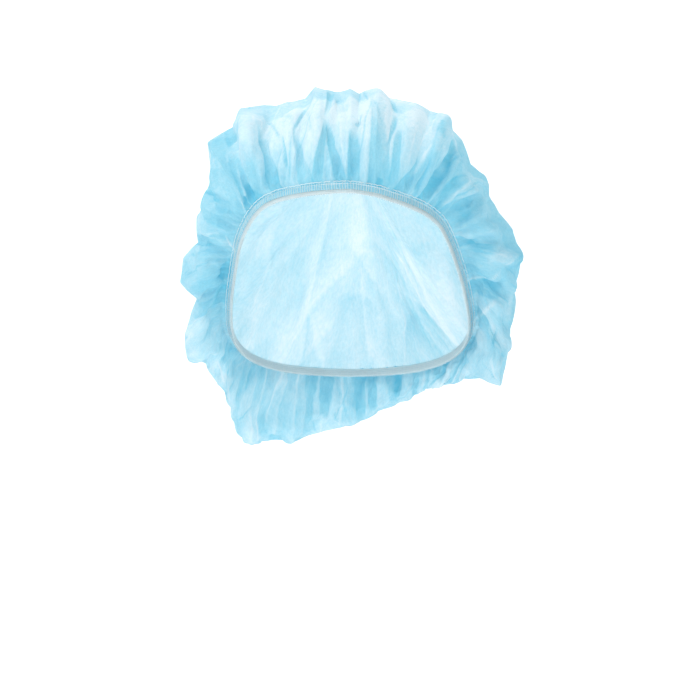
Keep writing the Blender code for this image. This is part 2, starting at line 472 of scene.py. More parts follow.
# Pleats and creases seen from the front: lower and upper end as a turn and a share of the way from hem to
# outline, widths as shares of pleat_width, and tone: above 0 a folded-over pleat, deeper for its doubled
# cloth and for painted shade, below 0 a crease with a painted highlight on its crest
PLEATS = (
    ("turn_low", "low", "turn_high", "high", "width_low", "width_high", "tone"),
    (335.5, 0.00, 330.5, 0.45, 1.20, 0.40, 0.90),
    (348.5, 0.00, 342.5, 0.35, 1.30, 0.25, 0.60),
    (342.5, 0.30, 347.0, 0.60, 0.25, 0.45, 0.60),
    (341.0, 0.10, 338.0, 0.35, 0.25, 0.20, 0.55),
    (338.0, 0.30, 333.5, 0.55, 0.20, 0.20, 0.50),
    (353.0, 0.35, 354.5, 0.85, 0.40, 0.90, 0.60),
    (351.0, 0.00, 353.0, 0.35, 0.95, 0.40, 0.75),
    (358.0, 0.00, 353.0, 0.35, 0.95, 0.40, 0.85),
    (1.5, 0.00, 1.5, 0.30, 0.80, 0.55, 0.90),
    (1.5, 0.30, 5.0, 0.40, 0.50, 0.20, 0.55),
    (11.0, 0.00, 8.5, 0.65, 1.50, 1.10, 0.75),
    (12.0, 0.00, 11.5, 0.05, 0.60, 0.30, 0.80),
    (13.0, 0.20, 15.5, 0.50, 0.20, 0.20, 0.60),
    (14.0, 0.20, 16.0, 0.50, 0.20, 0.15, 0.55),
    (16.0, 0.50, 12.5, 0.80, 0.30, 0.60, 0.55),
    (18.0, 0.00, 16.5, 0.40, 0.80, 0.30, 0.65),
    (25.5, 0.00, 29.5, 0.25, 2.00, 0.90, 0.85),
    (26.0, 0.10, 31.5, 0.35, 0.30, 0.25, -0.60),
    (29.0, 0.00, 30.5, 0.25, 0.30, 0.20, -0.70),
    (36.0, 0.00, 39.0, 0.25, 0.95, 0.85, 0.95),
    (39.0, 0.20, 37.0, 0.50, 0.85, 0.30, 0.85),
    (42.0, 0.05, 43.0, 0.40, 0.80, 0.50, 0.35),
    (46.5, 0.10, 37.5, 0.65, 0.50, 0.40, -0.35),
    (54.0, 0.00, 52.5, 0.40, 0.30, 0.20, -0.80),
    (50.5, 0.00, 50.0, 0.30, 1.20, 0.70, 0.60),
    (60.0, 0.00, 61.0, 0.40, 2.20, 1.20, 0.55),
    (69.0, 0.10, 68.0, 0.60, 0.80, 1.20, -0.30),
    (78.5, 0.00, 80.5, 0.15, 1.20, 0.60, 0.90),
    (84.0, 0.05, 84.5, 0.25, 0.80, 0.80, 0.80),
    (89.0, 0.15, 88.0, 0.40, 1.20, 1.60, -0.40),
    (108.0, 0.00, 93.0, 0.30, 0.25, 0.25, -0.80),
    (93.0, 0.25, 86.5, 0.45, 0.25, 0.25, -0.55),
    (113.0, 0.00, 97.5, 0.35, 1.60, 1.80, 1.00),
    (131.0, 0.00, 106.5, 0.25, 0.45, 0.55, -0.90),
    (130.0, 0.20, 117.5, 0.30, 0.45, 0.95, 0.90),
    (130.5, 0.25, 129.0, 0.60, 0.25, 0.25, -0.45),
    (124.0, 0.05, 123.0, 0.20, 1.20, 1.00, 0.45),
    (277.0, 0.00, 284.0, 0.10, 0.25, 0.20, -0.90),
    (301.5, 0.00, 310.5, 0.10, 0.25, 0.20, -0.85),
    (320.5, 0.00, 318.5, 0.15, 1.30, 0.50, 1.00),
    (304.5, 0.00, 316.0, 0.10, 0.80, 0.50, 0.90),
    (252.0, 0.00, 250.5, 0.15, 2.20, 1.20, 0.85),
    (268.0, 0.00, 262.0, 0.10, 2.20, 0.80, 0.85),
    (249.0, 0.05, 253.0, 0.60, 1.50, 1.00, 0.80),
    (314.0, 0.05, 317.5, 0.40, 1.00, 0.60, 0.65),
    (317.5, 0.40, 320.5, 0.90, 0.60, 0.80, 0.60),
    (313.0, 0.05, 317.5, 0.30, 0.25, 0.20, -0.75),
    (299.5, 0.15, 298.5, 0.95, 0.50, 0.80, 0.55),
    (290.0, 0.05, 290.5, 0.45, 1.10, 0.60, 0.45),
    (281.0, 0.05, 278.0, 0.95, 1.20, 1.20, 0.75),
    (230.0, 0.25, 223.5, 0.45, 0.80, 0.50, -0.50),
    (233.0, 0.20, 239.0, 0.40, 0.25, 0.25, -0.45),
    (226.0, 0.05, 228.0, 0.25, 1.40, 0.80, 0.50),
    (216.0, 0.10, 213.0, 0.80, 0.90, 0.70, 0.35),
)

# How deep the cloth's colour is where it isn't pleated, by turn: at the hem, in the middle of the ruffle,
# and in the strip along the outline where it is seen edge on. The deeper hem is painted contact shade. The
# deeper rim strip is painted, for cloth seen edge on and against the light falling on the upward-facing top.
# The deeper sides of the middle are partly more layers of cloth and partly painted shade
DEPTH_OF_TONE = (
    ("turn", "hem", "middle", "rim"),
    (0, 0.40, 0.03, 0.30),
    (20, 0.40, 0.05, 0.28),
    (36, 0.46, 0.28, 0.36),
    (60, 0.56, 0.46, 0.46),
    (85, 0.60, 0.72, 0.62),
    (110, 0.60, 0.56, 0.54),
    (127, 0.42, 0.34, 0.42),
    (150, 0.38, 0.30, 0.34),
    (180, 0.36, 0.30, 0.34),
    (210, 0.36, 0.28, 0.32),
    (235, 0.42, 0.32, 0.36),
    (255, 0.58, 0.32, 0.42),
    (280, 0.58, 0.37, 0.46),
    (300, 0.60, 0.60, 0.54),
    (318, 0.48, 0.48, 0.42),
    (332, 0.42, 0.12, 0.36),
    (345, 0.40, 0.03, 0.32),
)
back_tone = 0.30

# Where the strip along the outline starts, as a share of the way from hem to outline
RIM_START = (
    ("turn", "start"),
    (0, 0.55),
    (12, 0.60),
    (17, 0.50),
    (26, 0.60),
    (33, 0.40),
    (50, 0.65),
    (310, 0.65),
    (330, 0.50),
    (346, 0.60),
    (350, 0.50),
    (353, 0.55),
    (356, 0.50),
)


# The cloth solver's run, on some rows and columns of the fine grid: the cloth grows a little
# while its hem is held, and so it buckles into dents and creases
solver_row_step = 2
solver_column_step = 4
solver_frames = 16
solver_quality = 5
solver_speed = 3.0
solver_mass = 0.01
cloth_growth = 0.06
cloth_hold = 0.14
cloth_stiffness = 10.0
cloth_shear = 4.0
cloth_bending = 2.0
cloth_damping = 0.5
dent_limit = 0.0050
dent_rows = 6
dent_columns = 10

# The cloth is drawn taut over the forehead: how much of its dents that takes away, and how
# far to each side, in degrees
taut_share = 0.65
taut_reach = 36.0

# Creases of the papery cloth: size of a facet on the flat disc and height, in metres, and
# how many times higher it is near the pole
CRUMPLES = (
    ("seed", "facet", "height", "at_pole"),
    (10, 0.085, 0.0014, 2.4),
    (11, 0.050, 0.0010, 1.6),
    (12, 0.024, 0.0006, 1.0),
    (13, 0.011, 0.0003, 0.6),
)
fold_line_count = 90
fold_line_height = 0.0016
fold_line_width = 0.010

# The cloth's colour by tone, and the colour of the light that comes through it. The tone is deeper where the
# cloth lies doubled, and it also carries painted shade in hollows and pleats and painted highlight on crests
CLOTH_COLOURS = (
    (0.0, (0.900, 0.965, 0.985)),
    (0.5, (0.385, 0.725, 0.840)),
    (1.0, (0.145, 0.580, 0.750)),
)
LIGHT_THROUGH = (
    (0.0, (0.910, 0.975, 0.995)),
    (0.5, (0.395, 0.760, 0.875)),
    (1.0, (0.145, 0.610, 0.780)),
)


def gather_relief(across, length, along):
    total = np.zeros_like(length)
    for index, (folds, height, start, full, fade, end) in enumerate(GATHERS[1:]):
        seed = 40 + 10 * index
        drift = 0.42 * cloth_noise(seed, across, along, folds // 2, 5)
        drift += 0.55 * cloth_noise(seed + 1, across, along, folds // 5 + 2, 3)
        wave = crisp_wave(across * folds + drift)
        own = 0.75 + 0.55 * cloth_noise(seed + 2, across, along, folds, 4)
        reach = end * (1.0 + 0.30 * cloth_noise(seed + 3, across, along, folds // 2, 2))
        strength = smoothstep(start, full, length) * (1.0 - smoothstep(fade, reach, length))
        total += height * wave * own * strength
    return total * (1.0 - smoothstep(0.45, 0.80, along))


def flat_noise(seed, flat, cell):
    """Smooth noise from -1 to 1 over the flat disc, in cells of the given size."""
    rng = np.random.default_rng(seed)
    count = int(2.2 * disc_radius / cell) + 3
    grid = rng.uniform(-1.0, 1.0, (count, count))
    place = (flat + 1.1 * disc_radius) / cell
    low = np.floor(place).astype(int)
    share = smoothstep(0.0, 1.0, place - low)
    side, row = low[..., 0], low[..., 1]
    near = grid[row, side] * (1.0 - share[..., 0]) + grid[row, side + 1] * share[..., 0]
    far = grid[row + 1, side] * (1.0 - share[..., 0]) + grid[row + 1, side + 1] * share[..., 0]
    return near * (1.0 - share[..., 1]) + far * share[..., 1]


def crumple_relief(flat, along):
    """Sharp creases between the facets of the papery cloth, of several sizes."""
    total = np.zeros_like(along)
    near_pole = smoothstep(0.45, 0.80, along)
    for seed, facet, height, at_pole in CRUMPLES[1:]:
        crease = 1.0 - 2.0 * np.abs(flat_noise(seed, flat, facet)) ** 0.8
        total += height * (1.0 + (at_pole - 1.0) * near_pole) * crease
    return total


def fold_lines(flat):
    """Long straight folds across the flat disc, left where it was packed: relief, and a tone of painted
    highlight and shade along each fold.
    """
    rng = np.random.default_rng(58)
    relief = np.zeros(flat.shape[:2])
    tone = np.zeros(flat.shape[:2])
    for _ in range(fold_line_count):
        apart = flat - rng.uniform(-0.8, 0.8, 2) * disc_radius
        angle = rng.uniform(0.0, math.pi)
        reach = rng.uniform(0.03, 0.09)
        raised = rng.choice((-1.0, 1.0)) * rng.uniform(0.5, 1.0)
        run = np.abs(apart[..., 0] * math.cos(angle) + apart[..., 1] * math.sin(angle))
        side = apart[..., 1] * math.cos(angle) - apart[..., 0] * math.sin(angle)
        fade = 1.0 - smoothstep(0.5 * reach, reach, run)
        relief += raised * fold_line_height * fade * np.exp(-np.abs(side) / fold_line_width)
        # Painted highlight on raised fold lines and painted shade in sunken ones, then one facet of each
        # fold painted lighter and the other deeper
        tone -= 0.10 * raised * fade * np.exp(-np.abs(side) / (0.15 * fold_line_width))
        tone += 0.08 * fade * np.tanh(side / 0.001) * np.exp(-np.abs(side) / fold_line_width)
    return relief, tone


def end_fade(way, low, high):
    """Full between the two ends, fading over the last part of each, but not at the hem."""
    soft = 0.25 * (high - low)
    start = np.ones_like(way) if low <= 0.001 else smoothstep(low, low + soft, way)
    return start * (1.0 - smoothstep(high - soft, high, way))


def pleat_fields(table, turn, way, spacing):
    """Relief and tone of the pleats: doubled cloth and painted shade in each pleat, and a painted highlight
    on the crest of each crease. Way is 0 at the hem and 1 at the outline.
    """
    rows, count = way.shape
    index = np.arange(count)
    relief = np.zeros_like(way)
    tone = np.zeros_like(way)
    for turn_low, low, turn_high, high, width_low, width_high, depth in table[1:]:
        at_low = np.interp(turn_low, turn, index, period=360.0)
        at_high = np.interp(turn_high, turn, index, period=360.0)
        at_high += count * round((at_low - at_high) / count)
        share = np.clip((way - low) / (high - low), 0.0, 1.0)
        apart = (index - (at_low + (at_high - at_low) * share) + count / 2) % count - count / 2
        apart = apart * spacing
        width = (width_low + (width_high - width_low) * share) * pleat_width
        fade = end_fade(way, low, high)
        if depth > 0.0:
            band = 1.0 - smoothstep(0.5 * width - 0.0004, 0.5 * width + 0.0004, np.abs(apart))
            rim = np.exp(-((np.abs(apart) - 0.5 * width) / 0.0006) ** 2)
            valley = np.exp(-(apart / (0.5 * width)) ** 2)
            edge = np.exp(-((apart + 0.55 * width) / (0.22 * width + 0.0003)) ** 2)
            firm = 1.5 - 0.7 * smoothstep(0.2, 0.9, width / pleat_width)
            relief += fade * depth * pleat_depth * (0.35 * edge - valley)
            # Painted shade: the pleat is deeper, more so on one side, with a painted dark line along its
            # edges; part of the depth is its doubled cloth
            tone += fade * depth * firm * band * (1.0 - 0.25 * share) * (1.0 - 0.40 * apart / width)
            tone += 0.30 * fade * depth * rim
        else:
            crest = np.exp(-(apart / (0.5 * width)) ** 2)
            relief -= fade * depth * crest_height * crest
            # Painted highlight along the crease's raised crest
            tone += fade * depth * crest
    return relief, tone


def back_pleats():
    """Pleats of the same kind for the sides and the underside, hidden from the front."""
    rng = np.random.default_rng(21)
    rows = [("turn_low", "low", "turn_high", "high", "width_low", "width_high", "tone")]
    for place in np.arange(0.0, 360.0, 9.0):
        start = place + rng.uniform(-3.5, 3.5)
        low = rng.uniform(0.90, 1.10)
        high = low + rng.uniform(0.25, 0.55)
        tone = rng.choice((0.25, 0.35, -0.25))
        width = rng.uniform(0.5, 0.9) if tone > 0.0 else 0.26
        rows.append((start, low, start + rng.uniform(-6.0, 6.0), high, width, 0.3 * width, tone))
    for place in np.arange(136.0, 214.0, 5.2):
        start = place + rng.uniform(-2.0, 2.0)
        tone = rng.choice((0.8, 0.6, -0.6))
        width = rng.uniform(0.7, 1.3) if tone > 0.0 else 0.28
        end = start + rng.uniform(-5.0, 5.0)
        high = rng.uniform(0.5, 0.95)
        rows.append((start, 0.0, end, high, width, 0.6 * width, tone))
    return rows


def fine_creases():
    """Thin straight creases above the hem, some with painted shade in them and some with a painted highlight
    on their crests.
    """
    rng = np.random.default_rng(33)
    rows = []
    for place in np.arange(0.0, 360.0, 2.6):
        start = place + rng.uniform(-1.5, 1.5)
        low = rng.uniform(0.02, 1.0)
        width = rng.uniform(0.11, 0.17)
        tone = rng.choice((0.40, 0.30, -0.40))
        end = start + rng.uniform(-7.0, 7.0)
        high = low + rng.uniform(0.15, 0.5)
        rows.append((start, low, end, high, width, width, tone))
    return rows


def grid_normals(points):
    beside = np.roll(points, -1, axis=1) - np.roll(points, 1, axis=1)
    along = np.gradient(points, axis=0)
    return unit(np.cross(beside, along))


def cell_normals(points):
    beside = np.roll(points, -1, axis=1)[:-1] - points[:-1]
    return unit(np.cross(beside, points[1:] - points[:-1]))


def inside_outline(points):
    """Holds the cloth within the outline, so its ridges and notches stay sharp from the front."""
    up = points[..., 2] - axis_height
    apart = np.hypot(points[..., 0], up)
    at = np.degrees(np.arctan2(points[..., 0], up))
    start = around(OUTLINE, "reach", at) * crown_reach - outline_margin
    held = np.where(apart > start, start + outline_margin * np.tanh((apart - start) / outline_margin), apart)
    held = held / np.maximum(apart, 1e-6)
    points[..., 0] *= held
    points[..., 2] = axis_height + up * held
    return points


def plain_tone(turn, way, flat):
    """The cloth's tone away from its pleats: hem, middle, rim and then the back, with painted contact shade
    at the hem and a painted deeper strip along the rim.
    """
    hem = softened(DEPTH_OF_TONE, "hem", turn, 6.0)
    middle = softened(DEPTH_OF_TONE, "middle", turn, 6.0)
    rim = softened(DEPTH_OF_TONE, "rim", turn, 6.0)
    start = around(RIM_START, "start", turn) + 0.05 * flat_noise(93, flat, 0.030)
    # Painted shade: the deeper band at the hem is painted contact shade, and the strip along the outline is
    # painted deeper where the cloth is seen edge on
    tone = hem + (middle - hem) * smoothstep(0.04, 0.42, way)
    tone += (rim - middle) * smoothstep(start - 0.01, start + 0.05, way)
    tone += (back_tone - rim) * smoothstep(1.02, 1.45, way)
    return tone + 0.12 * flat_noise(91, flat, 0.045) + 0.10 * flat_noise(92, flat, 0.018)


def untangled(rows, moved):
    """Shortens the moves that would turn the cloth over on itself."""
    plain = cell_normals(rows)
    for _ in range(8):
        turned = (cell_normals(rows + moved) * plain).sum(axis=-1) < 0.15
        worst = np.zeros(rows.shape[:2])
        for shift in range(-5, 6):
            beside = np.roll(turned, shift, axis=1)
            worst[:-1] = np.maximum(worst[:-1], beside)
            worst[1:] = np.maximum(worst[1:], beside)
        worst = broad_part(worst, 2, False)
        worst = broad_part(worst.swapaxes(0, 1), 3, True).swapaxes(0, 1)
        moved = moved * (1.0 - 0.35 * worst)[..., None]
    return moved


def crown_points():
    across = column_shares()
    hem = hem_turns(across)
    turn = np.interp(hem, column(GATHER, "hem_turn"), column(GATHER, "outline_turn"))
    rows = crown_rings(hem, turn)
    steps = np.linalg.norm(np.diff(rows, axis=0), axis=2)
    length = np.concatenate([np.zeros((1, cloth_columns)), np.cumsum(steps, axis=0)])
    along = length / length[-1]
    flat = disc_places(along, across)
    outline_length = length[lip_rows + front_steps]
    way = length / outline_length
    spacing = np.linalg.norm(np.roll(rows, -1, axis=1) - rows, axis=2)
    even = spacing.mean(axis=1, keepdims=True) * np.gradient(across) * cloth_columns
    spacing = 0.5 * (spacing + even)
    seen, seen_tone = pleat_fields(PLEATS, turn, way, spacing)
    hidden, hidden_tone = pleat_fields(back_pleats() + fine_creases(), turn, way, spacing)
    packed, fold_line_shading = fold_lines(flat)
    relief = gather_relief(np.broadcast_to(across, length.shape), length, along)
    relief += (crumple_relief(flat, along) + packed) * smoothstep(0.004, 0.030, length)
    relief += (seen + hidden) * smoothstep(0.0, 0.009, length)
    past = length - outline_length
    calm = 1.0 - 0.75 * np.exp(-(past / np.where(past < 0.0, 0.011, 0.034)) ** 2)
    relief *= calm
    relief = 0.5 * relief + 0.25 * (np.roll(relief, 1, axis=1) + np.roll(relief, -1, axis=1))
    apart = np.abs((turn + 180.0) % 360.0 - 180.0)
    taut = taut_share * np.exp(-(apart / taut_reach) ** 4) * (1.0 - smoothstep(0.9, 1.2, way))
    moved = dents(rows) * (calm * (1.0 - taut) * (1.0 - smoothstep(0.55, 0.82, along)))[..., None]
    moved += grid_normals(rows + moved) * relief[..., None]
    points = inside_outline(rows + untangled(rows, moved))
    tone = plain_tone(turn, way, flat) + 0.41 * (seen_tone + hidden_tone) + fold_line_shading
    # Painted shade in the relief's hollows and painted highlight on its raised parts
    tone -= 0.05 * np.clip(relief / 0.002, -1.5, 1.5)
    return points, flat, np.clip(tone, 0.0, 1.0)


def disc_places(along, across):
    """Where each point lies on the flat disc that the cap is cut as, in metres."""
    radius = disc_radius * (1.0 - pole_ring_share * along)
    angle = 2.0 * math.pi * across
    return np.stack([radius * np.cos(angle), radius * np.sin(angle)], axis=-1)


def grid_mesh(name, points, closing=True, closed_rows=False):
    """A mesh from rows of points, each row a closed ring."""
    rows, count = points.shape[:2]
    corners = [tuple(point) for point in points.reshape(-1, 3)]
    faces = []
    last = rows if closed_rows else rows - 1
    for row in range(last):
        low = row * count
        high = (row + 1) % rows * count
        for side in range(count):
            beside = (side + 1) % count
            faces.append((low + side, low + beside, high + beside, high + side))
    if closing and not closed_rows:
        corners.append(tuple(points[-1].mean(axis=0)))
        base = (rows - 1) * count
        faces.extend((base + side, base + (side + 1) % count, len(corners) - 1) for side in range(count))
    mesh = bpy.data.meshes.new(name)
    mesh.from_pydata(corners, [], faces)
    mesh.update()
    for face in mesh.polygons:
        face.use_smooth = True
    return mesh


def solver_cloth(points):
    """A coarse crown for the cloth solver, held firmly at the hem and weakly elsewhere."""
    mesh = grid_mesh("solver_cloth", points)
    item = bpy.data.objects.new("solver_cloth", mesh)
    bpy.context.scene.collection.objects.link(item)
    hem_corners = points.shape[1]
    held = item.vertex_groups.new(name="held")
    held.add(list(range(hem_corners)), 1.0, "REPLACE")
    held.add(list(range(hem_corners, len(mesh.vertices))), cloth_hold, "REPLACE")
    cloth = item.modifiers.new("cloth", "CLOTH")
    cloth.point_cache.frame_start = 1
    cloth.point_cache.frame_end = solver_frames
    solver = cloth.settings
    solver.quality = solver_quality
    solver.mass = solver_mass
    solver.time_scale = solver_speed
    solver.tension_stiffness = cloth_stiffness
    solver.compression_stiffness = cloth_stiffness
    solver.shear_stiffness = cloth_shear
    solver.bending_stiffness = cloth_bending
    solver.tension_damping = cloth_damping
    solver.compression_damping = cloth_damping
    solver.shear_damping = cloth_damping
    solver.shrink_min = -cloth_growth
    solver.vertex_group_mass = "held"
    solver.pin_stiffness = 1.0
    solver.effector_weights.gravity = 0.0
    return item


def solved_points(points):
    """The points after the cloth solver's run, which leaves nothing of its own in the scene."""
    item = solver_cloth(points)
    mesh = item.data
    for moment in range(1, solver_frames + 1):
        bpy.context.scene.frame_set(moment)
    seen = item.evaluated_get(bpy.context.evaluated_depsgraph_get()).data
    corners = np.empty(3 * len(seen.vertices))
    seen.vertices.foreach_get("co", corners)
    bpy.context.scene.frame_set(1)
    bpy.data.objects.remove(item)
    bpy.data.meshes.remove(mesh)
    return corners.reshape(-1, 3)[:-1].reshape(points.shape)


def neighbours(values, steps, wraps):
    """The same field with each row's neighbour in its place, steps away along the first axis."""
    index = np.arange(len(values)) + steps
    if wraps:
        return values[index % len(values)]
    return values[np.clip(index, 0, len(values) - 1)]


def broad_part(values, reach, wraps):
    """The field's smooth part, averaged over the rows within the reach on each side."""
    offsets = np.arange(-2 * reach, 2 * reach + 1)
    weights = np.exp(-(offsets / reach) ** 2)
    weights /= weights.sum()
    return sum(weight * neighbours(values, step, wraps) for step, weight in zip(offsets, weights))


def between(values, places, wraps):
    """Values at places between the rows of a field, on a smooth curve through four of them."""
    low = np.floor(places).astype(int)
    share = (places - low)[:, None, None]
    before = neighbours(values, -1, wraps)[low]
    here = values[low]
    after = neighbours(values, 1, wraps)[low]
    beyond = neighbours(values, 2, wraps)[low]
    bend = 3.0 * (here - after) + beyond - before
    curve = 2.0 * before - 5.0 * here + 4.0 * after - beyond + share * bend
    return here + 0.5 * share * (after - before + share * curve)


def dents(rows):
    """How far each point moves where the cloth buckles, without the swelling of the whole crown."""
    coarse = rows[lip_rows::solver_row_step, ::solver_column_step]
    moved = solved_points(coarse) - coarse
    broad = broad_part(moved, dent_rows, False)
    broad = broad_part(broad.swapaxes(0, 1), dent_columns, True).swapaxes(0, 1)
    moved = moved - broad
    size = np.maximum(np.linalg.norm(moved, axis=-1, keepdims=True), 1e-9)
    moved *= dent_limit * np.tanh(size / dent_limit) / size
    tall = between(moved, np.arange(len(rows) - lip_rows) / solver_row_step, False)
    wide = between(tall.swapaxes(0, 1), np.arange(cloth_columns) / solver_column_step, True)
    total = np.zeros_like(rows)
    total[lip_rows:] = wide.swapaxes(0, 1)
    return total * smoothstep(0.0, 6.0, np.arange(len(rows)) - lip_rows)[:, None, None]


def add_object(name, data, material):
    item = bpy.data.objects.new(name, data)
    bpy.context.scene.collection.objects.link(item)
    item.data.materials.append(material)
    return item


def add_values(mesh, name, values):
    layer = mesh.attributes.new(name, "FLOAT", "POINT")
    padded = np.append(values.reshape(-1), values.reshape(-1)[-1]).astype(np.float32)
    layer.data.foreach_set("value", padded[: len(mesh.vertices)])


def add_disc_map(mesh, uv):
    """The cloth's own flat coordinates, in metres on the disc before it was gathered."""
    flat = np.vstack([uv.reshape(-1, 2), [[0.0, 0.0]]])
    layer = mesh.uv_layers.new(name="disc")
    corners = np.empty(len(mesh.loops), dtype=np.int32)
    mesh.loops.foreach_get("vertex_index", corners)
    layer.data.foreach_set("uv", flat[corners].astype(np.float32).reshape(-1))


class Nodes:
    """Short calls for building a material's nodes."""

    def __init__(self, name):
        self.material = bpy.data.materials.new(name)
        self.material.use_nodes = True
        self.tree = self.material.node_tree
        self.tree.nodes.clear()

    def add(self, kind, **settings):
        node = self.tree.nodes.new(kind)
        for key, value in settings.items():
            setattr(node, key, value)
        return node

    def link(self, source, target):
        self.tree.links.new(source, target)

    def math(self, operation, first, second=None):
        node = self.add("ShaderNodeMath", operation=operation)
        for place, value in enumerate((first, second)):
            if value is None:
                continue
            if isinstance(value, (int, float)):
                node.inputs[place].default_value = value
            else:
                self.link(value, node.inputs[place])
        return node.outputs[0]

    def ramp(self, value, stops):
        node = self.add("ShaderNodeValToRGB")
        ramp = node.color_ramp
        while len(ramp.elements) < len(stops):
            ramp.elements.new(0.5)
        for element, (place, colour) in zip(ramp.elements, stops):
            element.position = place
            element.color = (*colour, 1.0)
        self.link(value, node.inputs[0])
        return node.outputs[0]


def cloth_material():
    """Spunbond cloth: pale blue where one layer shows, deeper where it lies doubled and where shade is
    painted into its tone, paler where highlight is painted, with its fibres.
    """
    n = Nodes("nonwoven_cloth")
    flat = n.add("ShaderNodeUVMap", uv_map="disc").outputs[0]
    fibres = n.add("ShaderNodeTexNoise", noise_dimensions="2D")
    fibres.inputs["Scale"].default_value = 900.0
    fibres.inputs["Detail"].default_value = 3.0
    fibres.inputs["Distortion"].default_value = 1.2
    n.link(flat, fibres.inputs["Vector"])
    strands = n.add("ShaderNodeTexVoronoi", voronoi_dimensions="2D", feature="DISTANCE_TO_EDGE")
    strands.inputs["Scale"].default_value = 420.0
    n.link(flat, strands.inputs["Vector"])
    patches = n.add("ShaderNodeTexNoise", noise_dimensions="2D")
    patches.inputs["Scale"].default_value = 55.0
    patches.inputs["Detail"].default_value = 4.0
    n.link(flat, patches.inputs["Vector"])
    split = n.add("ShaderNodeSeparateXYZ")
    n.link(flat, split.inputs[0])
    lean = n.math("MULTIPLY", n.math("ADD", split.outputs[0], split.outputs[1]), 2200.0)
    rise = n.math("MULTIPLY", n.math("SUBTRACT", split.outputs[0], split.outputs[1]), 2200.0)
    bonds = n.math("MULTIPLY", n.math("SINE", lean), n.math("SINE", rise))
    # Painted shade and highlight: this tone holds painted shade in hollows and pleats and painted highlight
    # on crests, with the deeper colour of doubled cloth
    layers_and_shade = n.add("ShaderNodeAttribute", attribute_name="layers_and_shade").outputs["Fac"]
    mottle = n.add("ShaderNodeTexNoise", noise_dimensions="2D")
    mottle.inputs["Scale"].default_value = 300.0
    mottle.inputs["Detail"].default_value = 2.0
    n.link(flat, mottle.inputs["Vector"])
    tone = n.math("ADD", layers_and_shade, n.math("MULTIPLY", n.math("SUBTRACT", patches.outputs[0], 0.5), 0.22))
    tone = n.math("ADD", tone, n.math("MULTIPLY", n.math("SUBTRACT", mottle.outputs[0], 0.5), 0.26))
    colour = n.ramp(tone, CLOTH_COLOURS)
    through = n.ramp(tone, LIGHT_THROUGH)
    height = n.math("ADD", n.math("MULTIPLY", fibres.outputs[0], 0.5), n.math("MULTIPLY", bonds, 0.22))
    height = n.math("ADD", height, n.math("MULTIPLY", strands.outputs[0], 0.35))
    bump = n.add("ShaderNodeBump")
    bump.inputs["Strength"].default_value = 0.35
    bump.inputs["Distance"].default_value = 0.0004
    n.link(height, bump.inputs["Height"])
    face = n.add("ShaderNodeBsdfPrincipled")
    face.inputs["Roughness"].default_value = 0.62
    face.inputs["Specular IOR Level"].default_value = 0.30
    face.inputs["Sheen Weight"].default_value = 0.15
    n.link(colour, face.inputs["Base Color"])
    n.link(bump.outputs[0], face.inputs["Normal"])
    glow = n.add("ShaderNodeBsdfTranslucent")
    n.link(through, glow.inputs[0])
    n.link(bump.outputs[0], glow.inputs["Normal"])
    body = n.add("ShaderNodeMixShader")
    body.inputs[0].default_value = 0.42
    n.link(face.outputs[0], body.inputs[1])
    n.link(glow.outputs[0], body.inputs[2])
    clear = n.add("ShaderNodeBsdfTransparent")
    clear.inputs[0].default_value = (0.86, 0.96, 1.0, 1.0)
    holes = n.math("MULTIPLY", n.math("SUBTRACT", 1.0, fibres.outputs[0]), 0.22)
    mix = n.add("ShaderNodeMixShader")
    n.link(holes, mix.inputs[0])
    n.link(body.outputs[0], mix.inputs[1])
    n.link(clear.outputs[0], mix.inputs[2])
    out = n.add("ShaderNodeOutputMaterial")
    n.link(mix.outputs[0], out.inputs[0])
    return n.material


def soft_material(name, light, dark, scale, roughness, bump_depth, glow_share, groove_shade=None):
    """A thread, hem or elastic: two tones of noise, a fine bump and some light through it, with painted
    shade from an attribute where one is given.
    """
    n = Nodes(name)
    place = n.add("ShaderNodeTexCoord").outputs["Object"]
    grain = n.add("ShaderNodeTexNoise")
    grain.inputs["Scale"].default_value = scale
    grain.inputs["Detail"].default_value = 4.0
    n.link(place, grain.inputs["Vector"])
    tone = grain.outputs[0]
    if groove_shade:
        # Painted shade: the colour is darkened where the named attribute marks grooves
        depth = n.add("ShaderNodeAttribute", attribute_name=groove_shade).outputs["Fac"]
        tone = n.math("SUBTRACT", n.math("ADD", tone, 0.15), n.math("MULTIPLY", depth, 0.6))
    colour = n.ramp(tone, ((0.0, tuple(0.75 * part for part in dark)), (0.35, dark), (0.65, light)))
    bump = n.add("ShaderNodeBump")
    bump.inputs["Strength"].default_value = 0.5
    bump.inputs["Distance"].default_value = bump_depth
    n.link(grain.outputs[0], bump.inputs["Height"])
    face = n.add("ShaderNodeBsdfPrincipled")
    face.inputs["Roughness"].default_value = roughness
    face.inputs["Sheen Weight"].default_value = 0.2
    n.link(colour, face.inputs["Base Color"])
    n.link(bump.outputs[0], face.inputs["Normal"])
    glow = n.add("ShaderNodeBsdfTranslucent")
    n.link(colour, glow.inputs[0])
    mix = n.add("ShaderNodeMixShader")
    mix.inputs[0].default_value = glow_share
    n.link(face.outputs[0], mix.inputs[1])
    n.link(glow.outputs[0], mix.inputs[2])
    out = n.add("ShaderNodeOutputMaterial")
    n.link(mix.outputs[0], out.inputs[0])
    return n.material


def add_crown():
    points, flat, tone = crown_points()
    mesh = grid_mesh("crown_cloth", points)
    add_disc_map(mesh, flat)
    # The stored tone holds painted shade and painted highlight as well as the cloth's own deeper and paler
    # patches
    add_values(mesh, "layers_and_shade", tone)
    return add_object("crown_cloth", mesh, cloth_material())


